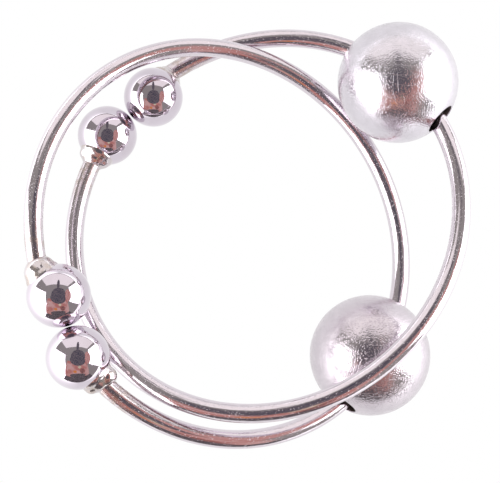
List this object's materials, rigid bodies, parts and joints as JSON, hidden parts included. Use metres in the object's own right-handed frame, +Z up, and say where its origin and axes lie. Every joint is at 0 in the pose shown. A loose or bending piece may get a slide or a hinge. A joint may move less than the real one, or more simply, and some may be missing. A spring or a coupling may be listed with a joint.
{
  "type": "ring disentanglement puzzle",
  "caption": "Two linked rings of bent metal wire, each threaded through a loose hollow ball and closed by a pair of small solid balls soldered on its ends.",
  "frame": {"origin": "bottom centre of the bounding box of the puzzle as it lies at rest on a table", "axes": "+Z up, square to the table; +Y from the end balls of ring A towards those of ring B; +X from the end balls towards the sliding balls"},
  "size_m": [0.0711, 0.0694, 0.0271],
  "materials": {
    "polished_wire": "polished steel wire with light handling scuffs",
    "polished_ball": "mirror polished steel",
    "satin_ball": "satin nickel plate, slightly grainy",
    "solder": "smooth solder, lightly tinted"
  },
  "bodies": {
    "ring_a": {"ring_a_wire": "polished_wire", "end_ball_a_lower": "polished_ball", "end_ball_a_upper": "polished_ball", "solder_bead_a_lower": "solder", "solder_bead_a_upper": "solder"},
    "sliding_ball_a": {"sliding_ball_a": "satin_ball"},
    "ring_b": {"ring_b_wire": "polished_wire", "end_ball_b_left": "polished_ball", "end_ball_b_right": "polished_ball", "solder_bead_b_left": "solder", "solder_bead_b_right": "solder"},
    "sliding_ball_b": {"sliding_ball_b": "satin_ball"}
  },
  "joints": [
    {"name": "ring_b_swing", "type": "hinge", "parent": "ring_a", "child": "ring_b", "pos_m": [-0.00163, 0.03101, 0.00157], "axis": [-0.4241, -0.8153, 0.3943], "range_deg": [0, 160]},
    {"name": "ball_a_slide", "type": "hinge", "parent": "ring_a", "child": "sliding_ball_a", "pos_m": [-0.00553, -0.00212, 0.01318], "axis": [0.2715, 0.169, 0.9475], "range_deg": [-10, 30]},
    {"name": "ball_b_slide", "type": "hinge", "parent": "ring_b", "child": "sliding_ball_b", "pos_m": [0.0019, 0.00418, 0.01288], "axis": [-0.1217, 0.3011, 0.9458], "range_deg": [-28, 0]}
  ]
}
